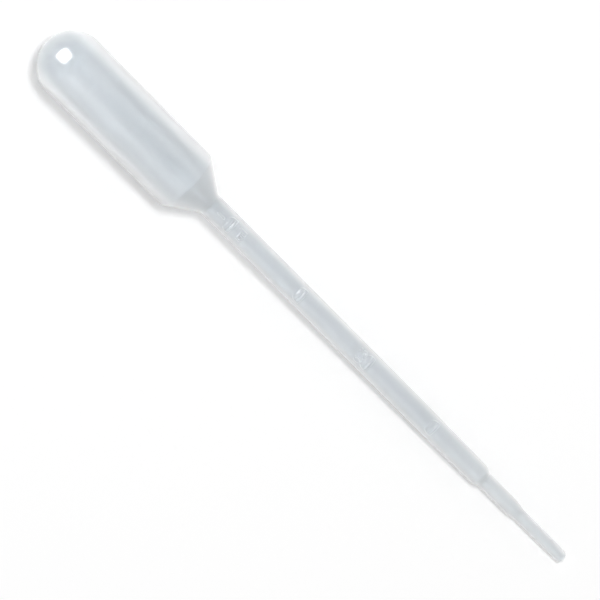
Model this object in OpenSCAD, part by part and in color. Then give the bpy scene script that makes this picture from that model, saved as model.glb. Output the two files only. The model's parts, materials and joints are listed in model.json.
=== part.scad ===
// Graduated dropper pipette, blow-moulded in one piece from soft polyethylene.
// It is built upright, with the centre of its tip at the origin and its marks
// facing +X, then laid on its side: it rests on the shoulder of the bulb and
// on the rim of the tip, with the marks facing up and the tip towards +X.

/* [Bulb] */
// Length of the bulb between its shoulder and its round end
bulb_l = 33.5; // [24:0.1:46]
// Outer diameter of the bulb where its round end begins
bulb_d = 14.4; // [13:0.1:18]
// Outer diameter of the bulb at its shoulder
shoulder_d = 14.1; // [12.5:0.1:17]
// Wall of the bulb
bulb_wall = 0.45; // [0.3:0.05:0.9]

/* [Cone] */
// Length of the cone between the bulb and the stem
cone_l = 7.1; // [6:0.1:14]
// Rounding where the cone meets the bulb
shoulder_round = 1.2; // [0.4:0.1:2]
// Rounding where the cone meets the stem
throat_round = 1.6; // [0.4:0.1:3]
// Wall of the stem where it meets the cone
throat_wall = 0.64; // [0.4:0.01:0.9]

/* [Stem] */
// Length of the stem between the cone and the step above the nozzle
stem_l = 81.7; // [70:0.1:110]
// Outer diameter of the stem
stem_d = 5.12; // [4.8:0.02:7]
// Outer diameter of the stem at its lower end
stem_end_d = 4.72; // [4.4:0.02:5.6]
// Length over which the lower end of the stem narrows
stem_taper_l = 19.7; // [8:0.1:40]
// Wall of the stem at its lower end
stem_wall = 0.53; // [0.4:0.01:0.9]

/* [Nozzle] */
// Height of the step between the nozzle and the stem
stem_step_l = 1.1; // [0.8:0.1:3]
// Length of the nozzle between its two steps
nozzle_l = 8.4; // [6:0.1:16]
// Outer diameter of the nozzle
nozzle_d = 3.48; // [3.2:0.02:4]
// Wall of the nozzle
nozzle_wall = 0.52; // [0.35:0.01:0.7]
// Height of the step between the tip and the nozzle
nozzle_step_l = 2.3; // [1:0.1:4]
// Rounding of the outer corner of each step
step_round = 1.2; // [0.3:0.1:1.6]
// Rounding of the inner corner of each step
step_fillet = 0.4; // [0.1:0.05:0.6]

/* [Tip] */
// Length of the tip below the nozzle
tip_l = 13.6; // [8:0.1:24]
// Outer diameter of the tip at its mouth
tip_d = 2.62; // [2.5:0.02:2.74]
// Outer diameter of the tip where it meets the nozzle
tip_top_d = 2.76; // [2.62:0.02:3]
// Wall of the tip
tip_wall = 0.5; // [0.35:0.01:0.7]
// Rounding of the tip's mouth
tip_round = 0.9; // [0.3:0.05:1]

/* [Graduation] */
// Volume between two marks, in millilitres
mark_ml = 0.25; // [0.2:0.05:0.5]
// Number of marks, as far as the stem has room for them
mark_count = 4; // [1:1:6]
// Height of the first mark above the mouth
first_mark = 39.7; // [30:0.1:48]
// Length of the raised scale behind each mark
scale_l = 2.5; // [2.2:0.1:4]
// Radius of the rounded end of a scale
scale_end_r = 1.85; // [1.2:0.05:2.2]
// Height of a scale above the stem at its first rib
scale_h = 0.08; // [0.04:0.01:0.12]
// Height of a scale above the stem at its rounded end
scale_end_h = 0.03; // [0.01:0.01:0.03]
// Height of the two ribs of a scale above the stem
rib_h = 0.2; // [0.14:0.01:0.24]
// Radius of a rib's round section
rib_r = 0.5; // [0.3:0.01:0.6]
// Distance between the two ribs of a scale
rib_pitch = 1.1; // [0.9:0.05:1.6]

/* [Mould] */
// Height of the parting line that the two mould halves leave
seam_h = 0.05; // [0.02:0.01:0.1]
// Width of the parting line
seam_w = 0.2; // [0.1:0.01:0.3]

/* [Hidden] */
$fn = 40;
arc_steps = 6;

// Heights of the corners of the outline above the mouth
nozzle_z = tip_l + nozzle_step_l;
step_z = nozzle_z + nozzle_l;
stem_z = step_z + stem_step_l;
taper_z = stem_z + stem_taper_l;
throat_z = stem_z + stem_l;
shoulder_z = throat_z + cone_l;
dome_z = shoulder_z + bulb_l;

// A corner of an outline is [radius, height, rounding]
function flat(p) = [p.x, p.y];
function unit(v) = v / norm(v);

// Centre of the arc of radius p.z that rounds the corner p between a and b
function arc_centre(a, p, b) =
    let (to_a = unit(flat(a) - flat(p)), to_b = unit(flat(b) - flat(p)))
    flat(p) + unit(to_a + to_b) * p.z / sin(acos(to_a * to_b) / 2);

function arc(a, p, b) =
    let (
        to_a = unit(flat(a) - flat(p)),
        to_b = unit(flat(b) - flat(p)),
        half = acos(to_a * to_b) / 2,
        centre = arc_centre(a, p, b),
        start = flat(p) + to_a * p.z / tan(half) - centre,
        turn = sign(to_a.x * to_b.y - to_a.y * to_b.x) * (2 * half - 180)
    )
    [for (i = [0 : arc_steps])
        let (t = turn * i / arc_steps)
        centre + [start.x * cos(t) - start.y * sin(t), start.x * sin(t) + start.y * cos(t)]];

function rounded(c) =
    [for (i = [0 : len(c) - 1])
        each i == 0 || i == len(c) - 1 || c[i].z == 0 ? [flat(c[i])] : arc(c[i - 1], c[i], c[i + 1])];

// Corners of the outer surface, moved out by grow
function outline(grow = 0) = [
    [tip_d / 2 + grow, 0, tip_round],
    [tip_top_d / 2 + grow, tip_l, step_fillet],
    [nozzle_d / 2 + grow, nozzle_z, step_round],
    [nozzle_d / 2 + grow, step_z, step_fillet],
    [stem_end_d / 2 + grow, stem_z, step_round],
    [stem_d / 2 + grow, taper_z, 0],
    [stem_d / 2 + grow, throat_z, throat_round],
    [shoulder_d / 2 + grow, shoulder_z, shoulder_round],
    [bulb_d / 2 + grow, dome_z, 0]];

// Corner of the inner surface: a wall in from p, and up by what a bend of the
// wall by the angle lean moves it
function within(p, wall, lean) = [p.x - wall, p.y + wall * tan(lean / 2), p.z];
function lean(a, b) = atan2(b.x - a.x, b.y - a.y);

function lining() =
    let (s = outline(), low = lean(s[1], s[2]), high = lean(s[3], s[4]), cone = lean(s[6], s[7]))
    [
        [tip_d / 2 - tip_wall, -1, 0],
        within(s[1], tip_wall, low),
        within(s[2], nozzle_wall, low),
        within(s[3], nozzle_wall, high),
        within(s[4], stem_wall, high),
        within(s[5], stem_wall, 0),
        within(s[6], throat_wall, cone),
        within(s[7], bulb_wall, cone),
        within(s[8], bulb_wall, 0)];

// Outer radius of the stem and radius of its bore at the height z
function stem_r(z) = lookup(z, [[stem_z, stem_end_d / 2], [taper_z, stem_d / 2], [throat_z, stem_d / 2]]);
function bore_r(z) =
    lookup(z, [[first_mark, stem_d / 2 - stem_wall], [throat_z, stem_d / 2 - throat_wall]]);

// Each mark stands above the last by the length of bore that holds mark_ml
function rise(z) = 1000 * mark_ml / (PI * bore_r(z) ^ 2);
function mark_z(i) = i == 0 ? first_mark : let (z = mark_z(i - 1)) z + rise(z + rise(z) / 2);

// How the pipette lies: the angle between its axis and the floor, which a line
// that touches both the shoulder's rounding and the mouth's rounding gives
mouth = arc_centre([0, 0, 0], outline()[0], outline()[1]);
shoulder = arc_centre(outline()[6], outline()[7], outline()[8]);
reach = shoulder - mouth;
tilt = atan2(reach.x, reach.y) + asin((shoulder_round - tip_round) / norm(reach));
floor_z = tip_round + mouth.x * cos(tilt) - mouth.y * sin(tilt);
front_x = tip_round + mouth.x * sin(tilt) - mouth.y * cos(tilt);
back_x = -(dome_z + bulb_d / 2 + seam_h) * cos(tilt) - seam_w / 2 * sin(tilt);

// Half of a section through the axis, up through the corners from the height
// foot to a round end of the radius end_r
module half_section(corners, foot, end_r) {
    polygon(rounded(concat([[0, foot, 0]], corners, [[0, dome_z, 0]])));
    translate([0, dome_z])
        intersection() {
            circle(r = end_r);
            square(end_r);
        }
}

module blown_outside() {
    rotate_extrude()
        half_section(outline(), 0, bulb_d / 2);
}

module blown_inside() {
    rotate_extrude()
        half_section(lining(), lining()[0].y, bulb_d / 2 - bulb_wall);
}

// The line where the two halves of the mould met, up both sides from the
// rounding of the mouth and over the round end
module parting_line() {
    edge = outline(seam_h);
    foot = [edge[0].x, tip_round, 0];
    rotate([90, 0, 90])
        linear_extrude(seam_w, center = true)
            for (side = [0, 1])
                mirror([side, 0, 0])
                    half_section([foot, for (i = [1 : len(edge) - 1]) edge[i]], foot.y, bulb_d / 2 + seam_h);
}

// A raised scale with a rounded end, which starts in a round rib that stands on
// the mark at height z, carries another rib above it and thins towards its end
module mark(z) {
    // Half the width of a rib where it leaves the stem
    half_w = sqrt(rib_h * (2 * rib_r - rib_h));
    foot = z + half_w;
    end = z + scale_l;
    intersection() {
        union() {
            translate([0, 0, foot])
                cylinder(r1 = stem_r(foot) + scale_h, r2 = stem_r(end) + scale_end_h, h = end - foot);
            rotate(-90)
                rotate_extrude(angle = 180)
                    for (middle = [foot, foot + rib_pitch])
                        translate([stem_r(middle) + rib_h - rib_r, middle])
                            circle(r = rib_r);
        }
        translate([0, 0, end - scale_end_r])
            rotate([0, 90, 0])
                cylinder(r = scale_end_r, h = stem_d);
    }
}

module pipette() {
    color([0.85, 0.89, 0.92, 0.6])
        translate([-(front_x + back_x) / 2, 0, floor_z])
            rotate([0, tilt - 90, 0])
                difference() {
                    union() {
                        blown_outside();
                        parting_line();
                        for (i = [0 : mark_count - 1])
                            if (mark_z(i) + scale_l + throat_round < throat_z)
                                mark(mark_z(i));
                    }
                    blown_inside();
                }
}

pipette();
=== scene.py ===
import json
import math

import bpy
from mathutils import Matrix, Vector


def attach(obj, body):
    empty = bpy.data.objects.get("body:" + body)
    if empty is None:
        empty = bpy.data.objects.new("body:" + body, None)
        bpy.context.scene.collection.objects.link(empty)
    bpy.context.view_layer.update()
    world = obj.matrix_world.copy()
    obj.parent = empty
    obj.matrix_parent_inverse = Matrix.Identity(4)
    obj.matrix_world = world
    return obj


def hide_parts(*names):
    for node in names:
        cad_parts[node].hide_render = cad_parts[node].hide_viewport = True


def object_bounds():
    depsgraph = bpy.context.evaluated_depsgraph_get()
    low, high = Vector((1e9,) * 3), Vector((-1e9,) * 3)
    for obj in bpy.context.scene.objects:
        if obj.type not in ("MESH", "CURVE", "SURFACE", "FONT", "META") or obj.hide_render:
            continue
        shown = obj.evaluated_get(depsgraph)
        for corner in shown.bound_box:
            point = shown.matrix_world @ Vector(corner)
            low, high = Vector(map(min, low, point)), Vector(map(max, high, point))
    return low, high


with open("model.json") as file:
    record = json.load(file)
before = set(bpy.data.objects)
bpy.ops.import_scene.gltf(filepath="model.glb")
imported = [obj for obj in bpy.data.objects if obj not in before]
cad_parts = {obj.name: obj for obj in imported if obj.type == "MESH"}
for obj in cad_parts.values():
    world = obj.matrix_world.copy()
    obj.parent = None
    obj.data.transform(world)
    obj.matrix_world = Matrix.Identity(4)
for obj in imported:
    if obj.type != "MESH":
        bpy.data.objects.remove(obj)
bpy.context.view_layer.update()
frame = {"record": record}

low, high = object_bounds()
middle = (low + high) / 2


# Camera: a long lens that looks down on the lying pipette, tipped a little towards its
# bulb and turned so that the pipette runs from the upper left to the lower right.
lens_distance = 2.4
view_width = 0.1213
tip_back = math.radians(14.6)
turn = math.radians(45.12)
aim = Vector((-0.00227, -0.00073, middle.z))

towards_camera = Vector((-math.sin(tip_back), 0, math.cos(tip_back)))
along_view = Vector((math.cos(tip_back), 0, math.sin(tip_back)))
across_view = Vector((0, 1, 0))
right = along_view * math.cos(turn) + across_view * math.sin(turn)
up = across_view * math.cos(turn) - along_view * math.sin(turn)

camera = bpy.data.objects.new("camera", bpy.data.cameras.new("camera"))
camera.data.lens = camera.data.sensor_width * lens_distance / view_width
camera.matrix_world = Matrix.Translation(aim + towards_camera * lens_distance) @ Matrix(
    (right, up, towards_camera)).transposed().to_4x4()
bpy.context.scene.collection.objects.link(camera)
bpy.context.scene.camera = camera


# Pipette: bulb, cone, stem, nozzle and tip are one thin skin of soft polyethylene, blown in
# a mould of two halves. Half a section of the skin is turned about the axis, and the mould's
# parting line, the raised marks and their numbers then lift its outer side.
mounts = {mount["name"]: mount for mount in frame["record"]["mounts"]}
mm = 0.001
# radii, walls and roundings of the skin in millimetres
stem_r = mounts["stem"]["dims"]["r_mm"]
nozzle_r = mounts["nozzle"]["dims"]["r_mm"]
bulb_r, shoulder_r, bulb_wall = 7.2, 7.05, 0.45
stem_end_r, stem_wall, throat_wall = 2.36, 0.53, 0.64
nozzle_wall = 0.52
tip_r, tip_top_r, tip_wall, tip_round = 1.31, 1.38, 0.5, 0.9
step_round, step_fillet, throat_round, shoulder_round = 1.2, 0.4, 1.6, 1.2
# heights above the mouth
bore_z, tip_z, nozzle_z, step_z, stem_z, taper_z = 0.2, 13.6, 15.9, 24.3, 25.4, 45.1
throat_z, shoulder_z, dome_z = 107.1, 114.2, 147.7
# how far the rounding of the mouth stops short of the bore
lip = 0.05

mark_ml, first_mark, mark_count = 0.25, 39.7, 4
mark_l, mark_end_r, mark_h, mark_edge = 2.5, 1.85, 0.07, 0.14
rib_h, second_rib_h, rib_r, rib_at, rib_pitch = 0.32, 0.28, 0.8, 0.2, 1.1
# each number with its mark and the height of its foot above that mark
numbers = [("1", 3, mark_l + 0.3), ("ml", 3, -2.9), ("0.5", 1, mark_l - 0.4)]
number_h, number_size, number_edge = 0.2, 2.6, 0.16
# the parting line stands prouder on the solid, whose box places the skin. Its flanks take up
# this share of its width, and it rises within this length above the rounding of the mouth
solid_seam_h, seam_h, seam_w = 0.05, 0.015, 0.2
seam_flank, seam_start = 0.6, 0.4
merge_gap = 0.001


def bore_r(z):
    """Radius of the stem's bore at the height z."""
    share = (z - first_mark) / (throat_z - first_mark)
    return stem_r - stem_wall - share * (throat_wall - stem_wall)


def mark_heights():
    """Heights of the marks: between two of them the bore holds mark_ml."""
    heights = [first_mark]
    while len(heights) < mark_count:
        rise = 0
        for _ in range(2):
            rise = 1000 * mark_ml / (math.pi * bore_r(heights[-1] + rise / 2) ** 2)
        heights.append(heights[-1] + rise)
    return heights


def arc(centre, radius, start, end, steps=8):
    """Points of an arc between two angles in degrees, measured from the outward direction."""
    return [centre + radius * Vector((math.cos(a), math.sin(a)))
            for a in (math.radians(start + (end - start) * i / steps) for i in range(steps + 1))]


def rounded(corners):
    """The corners (radius, height, rounding) as points, each with its arc."""
    points = []
    for i, (x, y, rounding) in enumerate(corners):
        corner = Vector((x, y))
        if not rounding or i in (0, len(corners) - 1):
            points.append(corner)
            continue
        before = (Vector(corners[i - 1][:2]) - corner).normalized()
        after = (Vector(corners[i + 1][:2]) - corner).normalized()
        half = math.acos(before.dot(after)) / 2
        centre = corner + (before + after).normalized() * rounding / math.sin(half)
        reach = rounding / math.tan(half)
        angles = [math.degrees(math.atan2(*(p - centre).yx))
                  for p in (corner + before * reach, corner + after * reach)]
        swing = (angles[1] - angles[0] + 180) % 360 - 180
        points += arc(centre, rounding, angles[0], angles[0] + swing)
    return points


# a run longer than this is stepped with a look ahead, and its last step may be a little longer
long_run, last_step = 3, 1.01
look_ahead = (0, 0.4, 0.8, 1.2, 1.6)


def divided(points, longest):
    """The points with more between them, no further apart than longest(height).

    A short run is cut evenly. Along a long one the steps shorten before a mark begins."""
    out = [points[0]]
    for a, b in zip(points, points[1:]):
        steps = math.ceil((b - a).length / longest((a.y + b.y) / 2))
        if steps > 1 and (b - a).length > long_run:
            way = (b - a).normalized()
            here = a
            while True:
                step = min(longest(here.y + way.y * ahead) for ahead in look_ahead)
                if (b - here).length < last_step * step:
                    break
                here = here + way * step
                out.append(here)
            out.append(b)
        else:
            out += [a.lerp(b, (i + 1) / steps) for i in range(steps)]
    return out


def inside(x, z, wall, lean, rounding):
    """Corner of the bore, a wall in from the corner (x, z), at which the skin bends by lean."""
    return (x - wall, z + wall * math.tan(math.radians(lean) / 2), rounding)


outer_corners = [
    (bulb_r, dome_z, 0), (shoulder_r, shoulder_z, shoulder_round), (stem_r, throat_z, throat_round),
    (stem_r, taper_z, 0), (stem_end_r, stem_z, step_round), (nozzle_r, step_z, step_fillet),
    (nozzle_r, nozzle_z, step_round), (tip_top_r, tip_z, step_fillet), (tip_r, tip_round, 0)]
cone_lean = math.degrees(math.atan2(shoulder_r - stem_r, shoulder_z - throat_z))
high_lean = math.degrees(math.atan2(stem_end_r - nozzle_r, stem_z - step_z))
low_lean = math.degrees(math.atan2(nozzle_r - tip_top_r, nozzle_z - tip_z))
bore_tip = tip_r - tip_wall
inner_corners = [
    (bore_tip, bore_z, 0), inside(tip_top_r, tip_z, tip_wall, low_lean, step_fillet),
    inside(nozzle_r, nozzle_z, nozzle_wall, low_lean, step_round),
    inside(nozzle_r, step_z, nozzle_wall, high_lean, step_fillet),
    inside(stem_end_r, stem_z, stem_wall, high_lean, step_round),
    inside(stem_r, taper_z, stem_wall, 0, 0),
    inside(stem_r, throat_z, throat_wall, cone_lean, throat_round),
    inside(shoulder_r, shoulder_z, bulb_wall, cone_lean, shoulder_round),
    (bulb_r - bulb_wall, dome_z, 0)]

marks = mark_heights()
# stretches of the stem, below and above a mark, that need close rows for their relief
mark_reach = (0.4, mark_l + 0.5)
number_reach = {3: (4.6, 6.2), 1: (0.4, 6.4)}
mark_row, number_row, plain_row = 0.07, 0.085, 1.6


def longest_row(z):
    """Longest step between rows of the outer side at the height z."""
    if any(-mark_reach[0] < z - mark < mark_reach[1] for mark in marks):
        return mark_row
    if any(-below < z - marks[i] < above for i, (below, above) in number_reach.items()):
        return number_row
    return plain_row


dome_steps = 28
dome_middle = Vector((0, dome_z))
mouth_swing = math.degrees(math.acos((bore_tip + lip - tip_r + tip_round) / tip_round))
mouth_arc = arc(Vector((tip_r - tip_round, tip_round)), tip_round, 0, -mouth_swing)
outer = arc(dome_middle, bulb_r, 90, 0, dome_steps)[:-1] + divided(
    rounded(outer_corners), longest_row) + mouth_arc[1:]
inner = divided(rounded(inner_corners), lambda z: plain_row) + arc(
    dome_middle, bulb_r - bulb_wall, 0, 90, dome_steps)[1:]
section = outer + inner

# the spokes on which the half section is set: an angle each, and beside the parting line a way
# along the skin from it, closest together on the face that carries the marks
face_half, face_steps, flank_steps, back_steps = 62, 66, 5, 30
face = [(face_half * (2 * i / face_steps - 1), 0) for i in range(face_steps + 1)]
flank = [(face_half + (90 - face_half) * i / flank_steps, 0) for i in range(1, flank_steps)]
seam = [(90, side * seam_w) for side in (-1.1, -0.5, 0, 0.5, 1.1)]
back = [(90 + 180 * i / back_steps, 0) for i in range(1, back_steps)]
spokes = face + flank + seam + back + [(angle + 180, offset) for angle, offset in seam]
spokes += [(360 - angle, 0) for angle, _ in reversed(flank)] + [(360 - face_half, 0)]


def points_object(name, points):
    mesh = bpy.data.meshes.new(name)
    mesh.from_pydata(points, [], [])
    made = bpy.data.objects.new(name, mesh)
    bpy.context.scene.collection.objects.link(made)
    return made


pipette = points_object("pipette_skin", [(p.x * mm, 0, p.y * mm) for p in section])
pipette.data.attributes.new("outside", "FLOAT", "POINT").data.foreach_set(
    "value", [float(i < len(outer)) for i in range(len(section))])
spoke_points = points_object("spokes", [(math.radians(a), o * mm, 0) for a, o in spokes])


def join(tree, kind, *values, **settings):
    """A node of a tree. Each value goes into the node's next input: None leaves it alone."""
    node = tree.nodes.new(kind)
    for name, value in settings.items():
        setattr(node, name, value)
    free = [socket for socket in node.inputs if socket.enabled]
    for socket, value in zip(free, values):
        if isinstance(value, bpy.types.NodeSocket):
            tree.links.new(value, socket)
        elif value is not None:
            socket.default_value = value
    return node


def maths(tree, operation, *values):
    return join(tree, "ShaderNodeMath", *values, operation=operation).outputs[0]


def ramp(tree, value, start, end, first=0.0, last=1.0, curve="LINEAR"):
    """Goes from first to last while the value goes from start to end, and no further."""
    return join(tree, "ShaderNodeMapRange", value, start, end, first, last,
                interpolation_type=curve).outputs[0]


def smooth(tree, value, width):
    """0 below 0, 1 above width and an even curve between."""
    return ramp(tree, value, 0.0, width, curve="SMOOTHSTEP")


def sockets(tree, inputs, outputs):
    """The inputs and outputs of a tree, from rows of a name, a kind and a first value."""
    for direction, rows in (("INPUT", inputs), ("OUTPUT", outputs)):
        for name, kind, *value in rows:
            socket = tree.interface.new_socket(name, in_out=direction, socket_type="NodeSocket" + kind)
            if value:
                socket.default_value = value[0]
    return tree.nodes.new("NodeGroupInput").outputs, tree.nodes.new("NodeGroupOutput").inputs


# the relief of one mark: a thin pad with a round end, which carries two ribs
relief = bpy.data.node_groups.new("mark relief", "GeometryNodeTree")
given, made = sockets(relief, [
    ("Along", "Float"), ("Across", "Float"), ("Length", "Float", mark_l * mm),
    ("End Radius", "Float", mark_end_r * mm), ("Height", "Float", mark_h * mm),
    ("Edge", "Float", mark_edge * mm), ("Rib Height", "Float", rib_h * mm),
    ("Second Rib Height", "Float", second_rib_h * mm), ("Rib Radius", "Float", rib_r * mm),
    ("Rib Place", "Float", rib_at * mm), ("Rib Pitch", "Float", rib_pitch * mm)],
    [("Relief", "Float")])
along, across = given["Along"], given["Across"]
end_middle = maths(relief, "SUBTRACT", given["Length"], given["End Radius"])
from_middle = join(relief, "ShaderNodeCombineXYZ", maths(relief, "SUBTRACT", along, end_middle), across)
from_middle = join(relief, "ShaderNodeVectorMath", from_middle.outputs[0], operation="LENGTH")
within_end = maths(relief, "SUBTRACT", given["End Radius"], from_middle.outputs["Value"])
foot = smooth(relief, along, given["Edge"])
pad = maths(relief, "MULTIPLY", smooth(relief, within_end, given["Edge"]), foot)
pad_height = maths(relief, "MULTIPLY", pad, given["Height"])
rib_ends = smooth(relief, within_end, maths(relief, "MULTIPLY", given["Edge"], 2.0))


def rib(place, height):
    """A round rib across the mark, which sinks into it at both ends."""
    off = maths(relief, "SUBTRACT", along, place)
    chord = maths(relief, "SUBTRACT", maths(relief, "MULTIPLY", given["Rib Radius"], given["Rib Radius"]),
                  maths(relief, "MULTIPLY", off, off))
    crown = maths(relief, "SUBTRACT", maths(relief, "SQRT", maths(relief, "MAXIMUM", chord, 0.0)),
                  maths(relief, "SUBTRACT", given["Rib Radius"], height))
    return maths(relief, "MULTIPLY", maths(relief, "MULTIPLY", crown, rib_ends), foot)


first_rib = rib(given["Rib Place"], given["Rib Height"])
second_place = maths(relief, "ADD", given["Rib Place"], given["Rib Pitch"])
second_rib = rib(second_place, given["Second Rib Height"])
highest = maths(relief, "MAXIMUM", pad_height, maths(relief, "MAXIMUM", first_rib, second_rib))
relief.links.new(highest, made["Relief"])

# the skin: a grid with a row for each point of the half section and a column for each spoke
tree = bpy.data.node_groups.new("blown skin", "GeometryNodeTree")
given, made = sockets(tree, [
    ("Half Section", "Geometry"), ("Spokes", "Object"), ("Stem Radius", "Float", stem_r * mm),
    ("Parting Line Height", "Float", seam_h * mm), ("Parting Line Width", "Float", seam_w * mm),
    ("Number Height", "Float", number_h * mm), ("Number Size", "Float", number_size * mm),
    ("Number Edge", "Float", number_edge * mm),
    ("Lie", "Rotation"), ("Place", "Vector"), ("Plastic", "Material")],
    [("Skin", "Geometry")])
half_section = given["Half Section"]
spoke_mesh = join(tree, "GeometryNodeObjectInfo", given["Spokes"]).outputs["Geometry"]
rows = join(tree, "GeometryNodeAttributeDomainSize", half_section).outputs["Point Count"]
columns = join(tree, "GeometryNodeAttributeDomainSize", spoke_mesh).outputs["Point Count"]
grid = join(tree, "GeometryNodeMeshGrid", 1.0, 1.0, rows, columns).outputs["Mesh"]
index = join(tree, "GeometryNodeInputIndex").outputs[0]
row = maths(tree, "FLOOR", maths(tree, "DIVIDE", maths(tree, "ADD", index, 0.5), columns))
column = maths(tree, "SUBTRACT", index, maths(tree, "MULTIPLY", row, columns))
position = join(tree, "GeometryNodeInputPosition").outputs[0]


def sampled(geometry, at):
    """Where the point of a geometry with that number lies."""
    sample = join(tree, "GeometryNodeSampleIndex", geometry, position, at, data_type="FLOAT_VECTOR")
    return join(tree, "ShaderNodeSeparateXYZ", sample.outputs[0]).outputs


def stored(name):
    return join(tree, "GeometryNodeInputNamedAttribute", name, data_type="FLOAT").outputs[0]


spot = sampled(half_section, row)
radius, height = spot["X"], spot["Z"]
spoke = sampled(spoke_mesh, column)
skin_radius = maths(tree, "MAXIMUM", radius, given["Stem Radius"])
angle = maths(tree, "ADD", spoke["X"], maths(tree, "DIVIDE", spoke["Y"], skin_radius))
turned = join(tree, "ShaderNodeCombineXYZ", maths(tree, "MULTIPLY", radius, maths(tree, "COSINE", angle)),
              maths(tree, "MULTIPLY", radius, maths(tree, "SINE", angle)), height).outputs[0]
outside = join(tree, "GeometryNodeSampleIndex", half_section, stored("outside"), row).outputs[0]
skin = join(tree, "GeometryNodeSetPosition", grid, None, turned).outputs[0]
for name, value in (("outside", outside), ("around", angle)):
    skin = join(tree, "GeometryNodeStoreNamedAttribute", skin, None, name, value,
                data_type="FLOAT", domain="POINT").outputs[0]
skin = join(tree, "GeometryNodeMergeByDistance", skin, None, merge_gap * mm).outputs[0]

# the marks on its face
place = join(tree, "ShaderNodeSeparateXYZ", position)
around = stored("around")
on_face = maths(tree, "LESS_THAN", around, math.pi / 2)
across = maths(tree, "MULTIPLY", around, given["Stem Radius"])
lift = None
for mark in marks:
    one = join(tree, "GeometryNodeGroup", node_tree=relief)
    tree.links.new(maths(tree, "SUBTRACT", place.outputs["Z"], mark * mm), one.inputs["Along"])
    tree.links.new(across, one.inputs["Across"])
    lift = one.outputs[0] if lift is None else maths(tree, "ADD", lift, one.outputs[0])


def lettering(text, foot_z):
    """The filled outlines of a number, flat, with its foot at that height on the unrolled stem."""
    curves = join(tree, "GeometryNodeStringToCurves", text, given["Number Size"], align_x="CENTER")
    apart = join(tree, "GeometryNodeRealizeInstances", curves.outputs[0])
    flat = join(tree, "GeometryNodeFillCurve", apart.outputs[0])
    return join(tree, "GeometryNodeTransform", flat.outputs[0], (0, foot_z * mm, 0)).outputs[0]


# the numbers, with soft edges that fall away from their outlines
joined = tree.nodes.new("GeometryNodeJoinGeometry")
for text, mark_index, above in numbers:
    tree.links.new(lettering(text, marks[mark_index] + above), joined.inputs[0])
unrolled = join(tree, "ShaderNodeCombineXYZ", across, place.outputs["Z"]).outputs[0]
away = join(tree, "GeometryNodeProximity", joined.outputs[0], None, unrolled,
            target_element="FACES").outputs["Distance"]
number = maths(tree, "SUBTRACT", 1.0, smooth(tree, away, given["Number Edge"]))
lift = maths(tree, "MAXIMUM", lift, maths(tree, "MULTIPLY", number, given["Number Height"]))
lift = maths(tree, "MULTIPLY", lift, on_face)

# the parting line up both sides, from the rounding of the mouth
from_parting = maths(tree, "ABSOLUTE", place.outputs["X"])
parting = smooth(tree, maths(tree, "SUBTRACT", given["Parting Line Width"], from_parting),
                 maths(tree, "MULTIPLY", given["Parting Line Width"], seam_flank))
above_mouth = maths(tree, "SUBTRACT", place.outputs["Z"], tip_round * mm)
parting = maths(tree, "MULTIPLY", parting, smooth(tree, above_mouth, seam_start * mm))
lift = maths(tree, "MAXIMUM", lift, maths(tree, "MULTIPLY", parting, given["Parting Line Height"]))

# the outer side lifted, and the whole skin laid down
lift = maths(tree, "MULTIPLY", lift, stored("outside"))
normal = join(tree, "GeometryNodeInputNormal").outputs[0]
moved = join(tree, "ShaderNodeVectorMath", normal, lift, operation="SCALE").outputs[0]
skin = join(tree, "GeometryNodeSetPosition", skin, None, None, moved).outputs[0]
skin = join(tree, "GeometryNodeTransform", skin, given["Place"], given["Lie"]).outputs[0]
skin = join(tree, "GeometryNodeSetShadeSmooth", skin).outputs[0]
skin = join(tree, "GeometryNodeRealizeInstances", skin).outputs[0]
skin = join(tree, "GeometryNodeSetMaterial", skin, None, given["Plastic"]).outputs[0]
tree.links.new(skin, made["Skin"])

# its plastic: milky, half clear and glossy, with streaks along it and soft clouds in it
dark_streak, pale_streak = (0.655, 0.697, 0.727, 1), (0.71, 0.746, 0.775, 1)
cloud_tint, thick_tint = (0.735, 0.755, 0.78, 1), (0.78, 0.81, 0.83, 1)
# painted light: a paler tint painted on the sides as a rim highlight, and a darker tint painted along the
# outline as shade
painted_rim_highlight_tint, painted_edge_shade_tint = (0.95, 0.965, 0.98, 1), (0.57, 0.58, 0.59, 1)
cloud_share, dent_depth = 0.35, 0.000003
finest_gloss, coarsest_gloss = 0.035, 0.07
# stretches along the frame's X: the shoulder of the bulb, and the stem's end with the nozzle
shoulder_x, nozzle_x = (-0.035, -0.029), (0.035, 0.058)
# where the painted rim highlight on the sides and the painted edge shade begin and end, from 0 on the face to
# 1 at the sides
painted_rim_highlight_band, painted_edge_shade_band, bulb_shift, face_share = (0.12, 0.48), (0.6, 0.8), 0.04, 0.97
# the light that the wall lets through square on and aslant
square_on, aslant_pass = 0.87, 0.25
axis = Vector(mounts["stem"]["axis"])
lean = math.atan2(-axis.z, axis.x)
plastic = bpy.data.materials.new("milky polyethylene")
plastic.use_nodes = True
look = plastic.node_tree
shader = look.nodes["Principled BSDF"]
shader.inputs["Transmission Weight"].default_value = 0.64
shader.inputs["IOR"].default_value = 1.51
shader.inputs["Sheen Weight"].default_value = 1
shader.inputs["Sheen Roughness"].default_value = 0.6
texture = join(look, "ShaderNodeTexCoord").outputs
place = texture["Object"]


def noise(scale, detail, seed, stretch=1.0):
    """Noise with so many grains to a metre, drawn out along the pipette by stretch."""
    moved = join(look, "ShaderNodeMapping", place, (seed, 0, 0), (0, lean, 0), (1 / stretch, 1, 1)).outputs[0]
    return join(look, "ShaderNodeTexNoise", moved, scale, detail, 0.5).outputs[0]


def blend(factor, a, b):
    """The colour a where the factor is 0 and b where it is 1."""
    mix = look.nodes.new("ShaderNodeMix")
    mix.data_type = "RGBA"
    look.links.new(factor, mix.inputs[0])
    for socket, value in ((mix.inputs[6], a), (mix.inputs[7], b)):
        if isinstance(value, tuple):
            socket.default_value = value
        else:
            look.links.new(value, socket)
    return mix.outputs[2]


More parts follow.
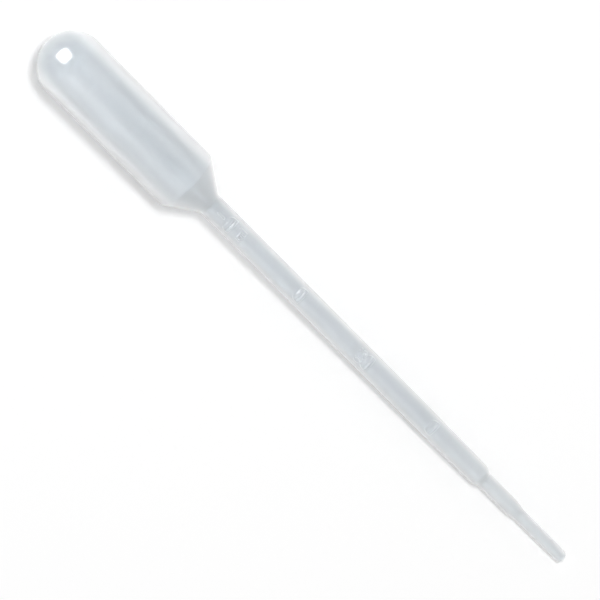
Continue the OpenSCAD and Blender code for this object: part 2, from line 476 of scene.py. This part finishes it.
streaks = noise(330, 1, 3.1, 30)
clouds = noise(110, 3, 7.7, 1.5)
grain = noise(2600, 2, 0.4)
tint = blend(ramp(look, streaks, 0.3, 0.7), dark_streak, pale_streak)
tint = blend(ramp(look, clouds, 0.35, 0.75, 0.0, cloud_share), tint, cloud_tint)
# the thick walls of the nozzle and tip look whiter than the thin ones
along = join(look, "ShaderNodeSeparateXYZ", place).outputs["X"]
tint = blend(ramp(look, along, *nozzle_x), tint, thick_tint)
# painted light: towards the sides, where the parting line runs, the tint is painted paler as a rim highlight,
# with a painted dark edge as shade along the outline, and on the thin bulb this starts a little further out
across = join(look, "ShaderNodeSeparateXYZ", texture["Normal"]).outputs["Y"]
upright = maths(look, "SQRT", maths(look, "SUBTRACT", 1.0, maths(look, "MULTIPLY", across, across)))
sideways = maths(look, "SUBTRACT", 1.0, maths(look, "MULTIPLY", face_share, upright))
sideways = maths(look, "SUBTRACT", sideways, ramp(look, along, *shoulder_x, bulb_shift, 0.0))
tint = blend(ramp(look, sideways, *painted_rim_highlight_band, curve="SMOOTHSTEP"), tint, painted_rim_highlight_tint)
tint = blend(ramp(look, sideways, *painted_edge_shade_band), tint, painted_edge_shade_tint)
look.links.new(tint, shader.inputs["Base Color"])
look.links.new(ramp(look, grain, 0.3, 0.7, finest_gloss, coarsest_gloss), shader.inputs["Roughness"])
dents = join(look, "ShaderNodeBump", 1.0, dent_depth, None, clouds).outputs[0]
look.links.new(dents, shader.inputs["Normal"])
# light that meets the wall aslant has more plastic to pass, so the shadow is darker along its edge
aslant = join(look, "ShaderNodeLayerWeight", 0.5).outputs["Facing"]
passed = ramp(look, aslant, 0.05, 0.6, square_on, aslant_pass)
thin = join(look, "ShaderNodeBsdfTransparent", passed).outputs[0]
is_shadow = look.nodes.new("ShaderNodeLightPath").outputs["Is Shadow Ray"]
surface = join(look, "ShaderNodeMixShader", is_shadow, shader.outputs[0], thin).outputs[0]
look.links.new(surface, look.nodes["Material Output"].inputs["Surface"])

# its place: the axis runs through the stem's mount, and the round end touches the end of the box
dome_x = low.x + (bulb_r + solid_seam_h * math.cos(lean)) * mm
stem_point = Vector(mounts["stem"]["pos_m"])
dome = stem_point + axis * ((dome_x - stem_point.x) / axis.x)
mouth = dome + axis * dome_z * mm

modifier = pipette.modifiers.new("blown skin", "NODES")
modifier.node_group = tree
ids = {item.name: item.identifier for item in tree.interface.items_tree if item.in_out == "INPUT"}
modifier[ids["Spokes"]] = spoke_points
modifier[ids["Lie"]] = (0, lean - math.pi / 2, 0)
modifier[ids["Place"]] = mouth
modifier[ids["Plastic"]] = plastic
depsgraph = bpy.context.evaluated_depsgraph_get()
mesh = bpy.data.meshes.new_from_object(pipette.evaluated_get(depsgraph))
pipette.modifiers.clear()
pipette.data = mesh
bpy.data.objects.remove(spoke_points)
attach(pipette, "root")
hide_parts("pipette")


# Floor: a plain pale table top, matt, that keeps the pipette's shadow. It glows a little to
# the eye, through clear plastic and in reflections, but sends no more light onto the pipette.
floor_half = 3
floor_colour = (0.9, 0.9, 0.9, 1)
floor_glow = 0.145
floor_mesh = bpy.data.meshes.new("floor")
floor_mesh.from_pydata([(x * floor_half, y * floor_half, 0) for x, y in ((-1, -1), (1, -1), (1, 1), (-1, 1))],
                       [], [(0, 1, 2, 3)])
floor = bpy.data.objects.new("floor", floor_mesh)
bpy.context.scene.collection.objects.link(floor)
pale = bpy.data.materials.new("pale floor")
pale.use_nodes = True
top = pale.node_tree
top.nodes.clear()


def seen(tree):
    """1 where the camera looks, straight, in a reflection or through clear plastic, otherwise 0."""
    path = tree.nodes.new("ShaderNodeLightPath").outputs
    direct = maths(tree, "MAXIMUM", path["Is Camera Ray"], path["Is Glossy Ray"])
    return maths(tree, "MAXIMUM", direct, path["Is Transmission Ray"])


matt = join(top, "ShaderNodeBsdfDiffuse", floor_colour).outputs[0]
glow = join(top, "ShaderNodeEmission", (1, 1, 1, 1), maths(top, "MULTIPLY", seen(top), floor_glow)).outputs[0]
both = join(top, "ShaderNodeAddShader", matt, glow).outputs[0]
top.links.new(both, top.nodes.new("ShaderNodeOutputMaterial").inputs["Surface"])
floor_mesh.materials.append(pale)


# Lights: one soft key from above makes the shadow. Four cards are only mirrored in the gloss
# of the plastic, one as the bright square on the bulb and three as soft streaks along it.
# An even white studio stands all around.
studio_light = 0.57
in_gloss, in_gloss_and_through, on_surfaces = (False, True, False), (False, True, True), (True, False, False)


def softbox(name, direction, distance, width, length, radiance, sees, spread=180):
    """A flat lamp; a spread under 180 degrees makes it fade away from its middle, as a grid does."""
    half = math.radians(spread) / 2
    lamp = bpy.data.lights.new(name, "AREA")
    lamp.shape = "RECTANGLE"
    lamp.size, lamp.size_y = width, length
    lamp.spread = 2 * half
    grid = math.tan(half) / (math.tan(half) - half) if spread < 180 else 1
    lamp.energy = radiance / grid * math.pi * width * length
    made = bpy.data.objects.new(name, lamp)
    made.visible_diffuse, made.visible_glossy, made.visible_transmission = sees
    direction = Vector(direction).normalized()
    made.matrix_world = Matrix.Translation(middle + direction * distance) @ direction.to_track_quat(
        "Z", "Y").to_matrix().to_4x4()
    bpy.context.scene.collection.objects.link(made)


def towards(back_deg, side_deg):
    """A direction that many degrees from the camera's towards the bulb, and then to the +Y side."""
    a, b = tip_back + math.radians(back_deg), math.radians(side_deg)
    return (-math.sin(a) * math.cos(b), math.sin(b), math.cos(a) * math.cos(b))


softbox("bulb side card", towards(44.8, 5), 0.6, 0.4, 0.4, 42, in_gloss_and_through, 76)
softbox("low side card", towards(-35, -31), 0.6, 0.8, 0.8, 1.8, in_gloss, 56)
softbox("left side card", towards(-35, -52), 0.8, 0.7, 0.8, 1.2, in_gloss, 100)
softbox("high side card", towards(-35, 39), 0.6, 0.8, 0.8, 1.5, in_gloss, 44)
softbox("key", (-0.27, 0.2, 1), 1.0, 0.17, 0.17, 46, on_surfaces)

world = bpy.data.worlds.new("studio")
bpy.context.scene.world = world
world.use_nodes = True
studio = world.node_tree
background = studio.nodes["Background"]
background.inputs["Color"].default_value = (1, 1, 1, 1)
studio.links.new(ramp(studio, seen(studio), 0.0, 1.0, studio_light, 1.0), background.inputs["Strength"])

bpy.context.scene.view_settings.view_transform = "Standard"
